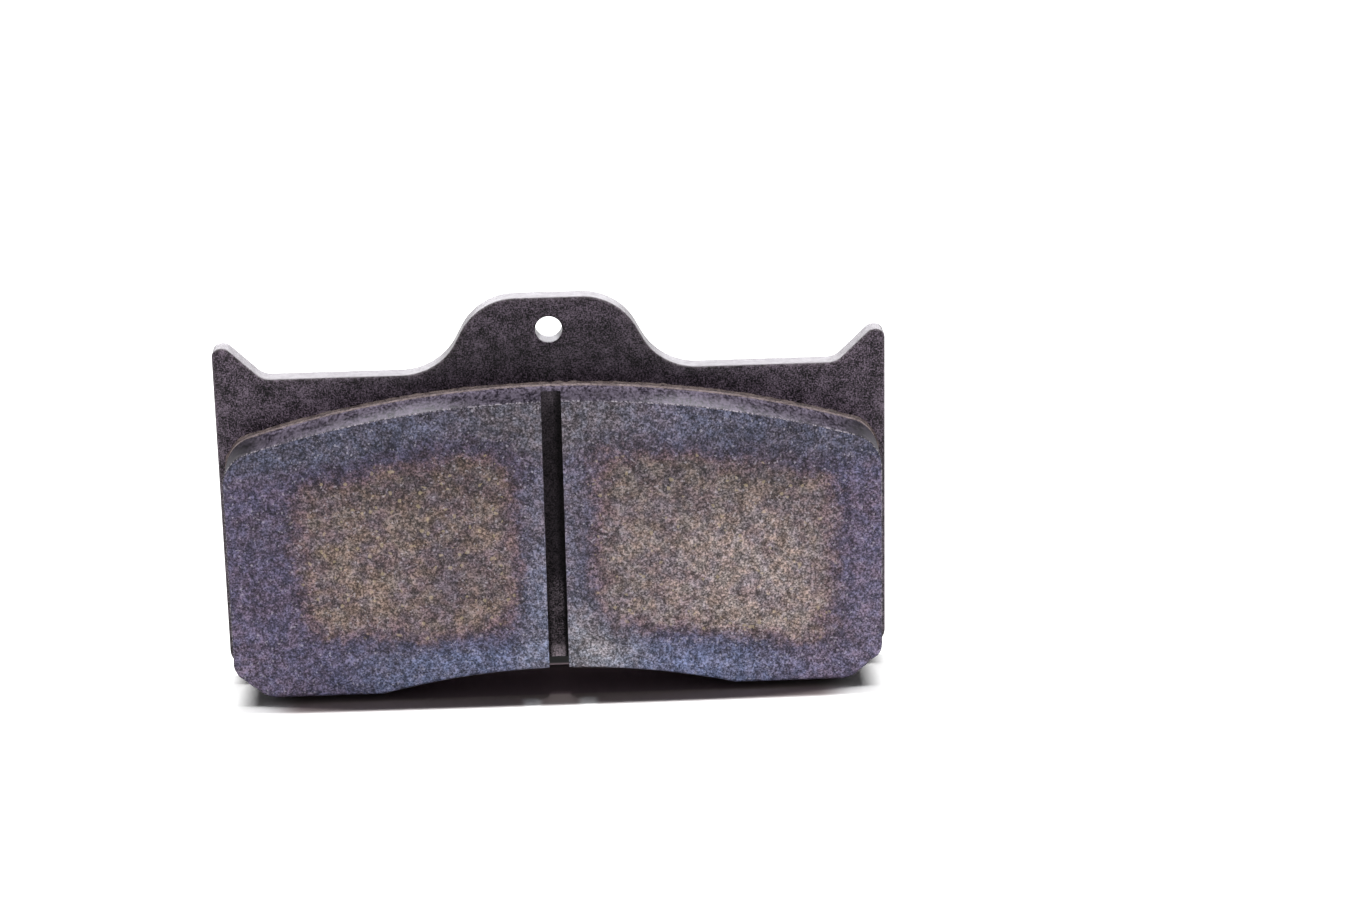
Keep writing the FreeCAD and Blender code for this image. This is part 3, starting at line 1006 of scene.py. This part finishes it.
# The block's sides: their grain, and chips at the lower corners that fade out away from them
SIDE_GRAIN = 0.018
CHIP_DEPTH = 0.22
CHIP_TOP_Z = 9
CHIP_INNER_X = 40
CHIP_FADE = 4
CHIP_REACH = 2.5
# The slot's floor grain, and how far the block's rim is rounded
SLOT_FLOOR_GRAIN = 0.05
BLOCK_EASE = 0.45
# The block's mesh: steps across the slot and along its walls, and spacing round the outline, on the face
# and on the hidden back
MOUTH_STEPS = 8
WALL_STEPS = 110
BLOCK_STEP = 0.4
FACE_SPACING = 0.4
BLOCK_BACK_SPACING = 3.0


def face_depth(x, z):
    """The ground face with its grain: shallow pits and proud grains a few hundredths deep."""
    pits = max(0.0, rough(x, 0, z, 0.8, 8) - PIT_LEVEL) * PIT_DEPTH
    grain = FACE_GRAIN * rough(x, 0, z, 0.45, 9)
    return FACE_Y + FACE_SINK + pits + grain


def clamped(value):
    return max(0.0, min(1.0, value))


def mouth_corners(count):
    """Where the slot's corners are in a ring: right foot, right crown, left crown and left foot.
    count is the number of points on each half of the ring."""
    return 0, count - 1, count + MOUTH_STEPS - 1, 2 * count + MOUTH_STEPS - 2


def block_ring(y, inset):
    """The block's outline at one level, starting at the right side of the slot on the foot.
    Also returns the number of points on each half of it."""
    right = block_half(BLOCK_STEP, SLOT_HALF)
    left = [Vector((-p.x, p.y)) for p in reversed(right)]
    across = [SLOT_HALF - 2 * SLOT_HALF * i / MOUTH_STEPS for i in range(1, MOUTH_STEPS)]
    crown = Vector((0, BLOCK_CROWN_Z - CROWN_R))
    top = [Vector((x, crown.y + math.sqrt(CROWN_R ** 2 - x ** 2))) for x in across]
    foot = [Vector((-x, BLOCK_FOOT_Z + arch_lift(x))) for x in across]
    loop = right + top + left + foot
    normals = outward_normals(loop)
    amounts = []
    for p in loop:
        worn = SIDE_GRAIN * rough(p.x, y, p.y, 0.6, 10)
        low = clamped((CHIP_TOP_Z - p.y) / CHIP_FADE)
        at_end = clamped((abs(p.x) - CHIP_INNER_X) / CHIP_FADE)
        chipped = CHIP_DEPTH * max(0.0, rough(p.x, 0, p.y, 1.3, 12) + 0.1) * (low * at_end)
        near_face = max(0.0, 1 - (y - FACE_Y) / CHIP_REACH)
        amounts.append(-inset + worn - chipped * near_face)
    ring = moved_out(loop, normals, amounts)
    count = len(right)
    right_foot, right_crown, left_crown, left_foot = mouth_corners(count)
    for i in (right_foot, right_crown):
        ring[i].x = SLOT_HALF
    for i in (left_crown, left_foot):
        ring[i].x = -SLOT_HALF
    return ring, count


def block_part(centre):
    """A face's material: 0 for the friction face, 1 for the moulded sides and back, 2 for the slot.
    The margins are a little more than the grain is deep."""
    in_slot = abs(centre.x) < SLOT_HALF + 0.07 and centre.y > FACE_Y + 0.12
    if in_slot and centre.y < SLOT_FLOOR_Y + 0.1:
        return 2
    return 0 if centre.y < FACE_Y + 0.16 else 1


def torn(side, y, z):
    """How far the slot's torn wall lies behind its sawn plane."""
    x = side * 9
    return 0.02 + 0.03 * rough(x, y, z, 0.6, 13) + 0.015 * rough(x, y * 4, z, 2.5, 14)


def slot_floor(foot_end, crown_end, right_edge, left_edge):
    """Rows across the slot's floor, from foot to crown, between the edges of its walls."""
    rows = []
    for k in range(WALL_STEPS + 1):
        if k in (0, WALL_STEPS):
            rows.append(at_depth(foot_end if k == 0 else crown_end, SLOT_FLOOR_Y))
            continue
        row = []
        for i in range(MOUTH_STEPS + 1):
            x = SLOT_HALF - 2 * SLOT_HALF * i / MOUTH_STEPS
            z = right_edge[k][2] + (left_edge[k][2] - right_edge[k][2]) * i / MOUTH_STEPS
            dip = 0.0 if i in (0, MOUTH_STEPS) else SLOT_FLOOR_GRAIN * rough(x, 3, z, 0.6, 15)
            row.append((x, SLOT_FLOOR_Y + dip, z))
        rows.append(row)
    return rows


def make_block():
    """The friction block: eased and slightly chipped rim, grainy face, and the sawn slot."""
    build = Builder()
    rim = rounded_levels(FACE_Y, UNDER_FRONT_Y, BLOCK_EASE, 4)
    upper = [(y, 0.0) for y in steps_between(rim[-1][0], SLOT_FLOOR_Y, 0.4)]
    lower = [(y, 0.0) for y in steps_between(SLOT_FLOOR_Y, UNDER_FRONT_Y, 0.5)]
    levels = rim + upper + [(SLOT_FLOOR_Y, 0.0)] + lower + [(UNDER_FRONT_Y, 0.0)]
    floor_level = len(rim) + len(upper)
    rings = [block_ring(y, inset) for y, inset in levels]
    count = rings[0][1]
    loops = [ring for ring, _ in rings]
    right_foot, right_crown, left_crown, left_foot = mouth_corners(count)
    top_mouth = range(right_crown, left_crown)
    foot_mouth = range(left_foot, left_foot + MOUTH_STEPS)

    def in_mouth(j, i):
        """True for the quads that the slot's open ends take out of the sides."""
        return j < floor_level and (i in top_mouth or i in foot_mouth)

    rows = [at_depth(loop, y) for loop, (y, _) in zip(loops, levels)]
    build.grid(rows, closed=True, skip=in_mouth)
    build.cap([loops[-1]], BLOCK_BACK_SPACING, UNDER_FRONT_Y, seed=7)

    def wall_row(side, j):
        """One level of a slot wall, from foot to crown."""
        y = levels[j][0]
        low = loops[j][right_foot if side > 0 else left_foot].y
        high = loops[j][right_crown if side > 0 else left_crown].y
        row = []
        for k in range(WALL_STEPS + 1):
            z = low + (high - low) * k / WALL_STEPS
            on_edge = k in (0, WALL_STEPS) or j == floor_level
            out = 0.0 if on_edge else torn(side, y, z)
            row.append((side * (SLOT_HALF + out), y, z))
        return row

    for side in (1, -1):
        walls = [wall_row(side, j) for j in range(floor_level + 1)]
        build.grid(walls)
        edge = flattened(walls[0])
        if side > 0:
            half = loops[0][:right_crown + 1] + edge[-2:0:-1]
        else:
            half = loops[0][left_crown:left_foot + 1] + edge[1:-1]
        build.cap([half], FACE_SPACING, FACE_Y, seed=8 + side, inner_y=face_depth)

    ring = loops[floor_level]
    foot_end = [ring[right_foot]] + [ring[i] for i in reversed(foot_mouth)]
    crown_end = [ring[i] for i in top_mouth] + [ring[left_crown]]
    build.grid(slot_floor(foot_end, crown_end, wall_row(1, floor_level), wall_row(-1, floor_level)))
    materials = [face_material(), skin_material(), slot_material()]
    return build.finish("friction_block_compound", "friction", "friction_block", materials, block_part)


pieces = [make_plate(), make_film(), make_underlayer(), make_block()]


# ---------------- floor, light and camera

# Floor colours: white, and painted shadow in front of and under the pad and behind its foot.
FLOOR_WHITE = 0.92
FLOOR_SHADE = (0.34, 0.27, 0.27)
UNDER_PAD_SHADE = (0.30, 0.225, 0.255)
BEHIND_FOOT_SHADE = 0.01


def floor_material():
    """Matt white, with painted shadow close to the pad, where little light reaches it, thinned in two
    painted lit patches beside the slot.
    """
    n = Nodes("floor_white")
    x, y, _ = n.axes()
    wide = n.math("ABSOLUTE", x)
    near = n.times(n.spread(wide, 45.5, 39.0), n.spread(y, -11.5, -9.0), n.spread(y, 7.0, 5.0))
    # Painted light: two patches beside the slot, where light comes through it, thin the painted shadow.
    beside_slot = n.math("ABSOLUTE", n.math("SUBTRACT", wide, 4.3))
    lit_patches = n.times(n.spread(beside_slot, 2.2, 0.4), n.spread(y, -6.5, -8.5))
    near = n.times(near, n.spread(lit_patches, 0.0, 1.0, 1.0, 0.1))
    # the deep painted shadow reaches further back behind the slot
    reach = n.spread(wide, 5.5, 2.5, 6.3, 11.5)
    under = n.times(n.spread(n.math("SUBTRACT", y, reach), 4.0, -0.5), n.spread(y, -6.5, -5.5))
    deep = n.mix(n.spread(y, 4.0, 7.0), UNDER_PAD_SHADE, BEHIND_FOOT_SHADE)
    shade = n.mix(n.times(near, 0.9), FLOOR_WHITE, FLOOR_SHADE)
    shade = n.cover(shade, deep, under, n.spread(wide, 40.0, 22.0))
    n.link(shade, n.shader.inputs["Base Color"])
    n.shader.inputs["Roughness"].default_value = 0.7
    n.shader.inputs["Specular IOR Level"].default_value = 0.0
    return n.material


def make_floor():
    """A plain pale floor, large enough to fill the view."""
    mesh = bpy.data.meshes.new("floor")
    size = 3.0
    corners = [(-size, -size, 0), (size, -size, 0), (size, size, 0), (-size, size, 0)]
    mesh.from_pydata(corners, [], [(0, 1, 2, 3)])
    mesh.materials.append(floor_material())
    floor = placed("floor", mesh)
    return floor


WHITE = (1.0, 1.0, 1.0)
RIM_LIGHT_TINT = (0.97, 0.96, 1.0)
SURROUND_STRENGTH = 0.10


def softbox(name, place, aim, size, power, tint=WHITE):
    """A rectangular area light at a place, turned towards aim."""
    light = bpy.data.lights.new(name, "AREA")
    light.shape = "RECTANGLE"
    light.size, light.size_y = size
    light.energy = power
    light.color = tint
    lamp = placed(name, light)
    lamp.location = place
    lamp.rotation_euler = (Vector(aim) - Vector(place)).to_track_quat("-Z", "Y").to_euler()
    return lamp


def light_scene(pieces, floor):
    """A pale surround, two soft front lights and a rim light for the pad, and one light for the floor."""
    world = bpy.data.worlds.new("studio")
    world.use_nodes = True
    nodes, links = world.node_tree.nodes, world.node_tree.links
    surround = nodes["Background"]
    surround.inputs["Color"].default_value = colour(WHITE)
    surround.inputs["Strength"].default_value = SURROUND_STRENGTH
    backdrop = nodes.new("ShaderNodeBackground")
    backdrop.inputs["Color"].default_value = colour(WHITE)
    both = nodes.new("ShaderNodeMixShader")
    links.new(nodes.new("ShaderNodeLightPath").outputs["Is Camera Ray"], both.inputs[0])
    links.new(surround.outputs[0], both.inputs[1])
    links.new(backdrop.outputs[0], both.inputs[2])
    links.new(both.outputs[0], nodes["World Output"].inputs[0])
    bpy.context.scene.world = world
    pad_lights = [
        softbox("key_left", place=(-1.25, -1.0, 2.2), aim=(0, 0, 0), size=(1.0, 1.8), power=56.0),
        softbox("key_right", place=(1.25, -1.0, 2.2), aim=(0, 0, 0), size=(1.0, 1.8), power=62.0),
        softbox("rim", (0.1, 0.9, 0.52), (0, 0, 0.03), (2.6, 0.9), power=56.0, tint=RIM_LIGHT_TINT),
    ]
    light_only(pad_lights, pieces, "pad_lit")
    overhead = softbox("overhead", place=(0, 0.14, 1.6), aim=(0, 0.14, 0), size=(2.0, 0.05), power=70.0)
    light_only([overhead], [floor], "floor_lit")


def light_only(lamps, receivers, name):
    """Lets lamps light nothing but the receivers; everything still casts shadows."""
    lit = bpy.data.collections.new(name)
    for receiver in receivers:
        lit.objects.link(receiver)
    for lamp in lamps:
        lamp.light_linking.receiver_collection = lit


# The camera's direction from the pad, its lens in millimetres, and in metres its distance and how far
# right of the pad's middle and above its foot it looks
AZIMUTH = math.radians(-1.95)
ELEVATION = math.radians(19.07)
ROLL = math.radians(-1.18)
SENSOR_WIDTH = 36.0
FOCAL_LENGTH = 96.5
DISTANCE = 0.554
LOOK_RIGHT = 0.01874
LOOK_UP = 0.03613


def place_camera():
    """The studio camera: in front of the pad, looking down at it, with the pad left of the middle."""
    low, high = cad_bounds
    target = Vector(((low.x + high.x) / 2 + LOOK_RIGHT, PLATE_FRONT_Y * MM, low.z + LOOK_UP))
    away = Vector((
        math.sin(AZIMUTH) * math.cos(ELEVATION),
        -math.cos(AZIMUTH) * math.cos(ELEVATION),
        math.sin(ELEVATION),
    ))
    data = bpy.data.cameras.new("camera")
    data.sensor_width = SENSOR_WIDTH
    data.lens = FOCAL_LENGTH
    camera = placed("camera", data)
    camera.location = target + away * DISTANCE
    turn = (-away).to_track_quat("-Z", "Y").to_matrix().to_4x4()
    camera.rotation_mode = "QUATERNION"
    camera.rotation_quaternion = (turn @ Matrix.Rotation(ROLL, 4, "Z")).to_quaternion()
    bpy.context.scene.camera = camera


bpy.context.scene.view_settings.view_transform = "Standard"
light_scene(pieces, make_floor())
place_camera()
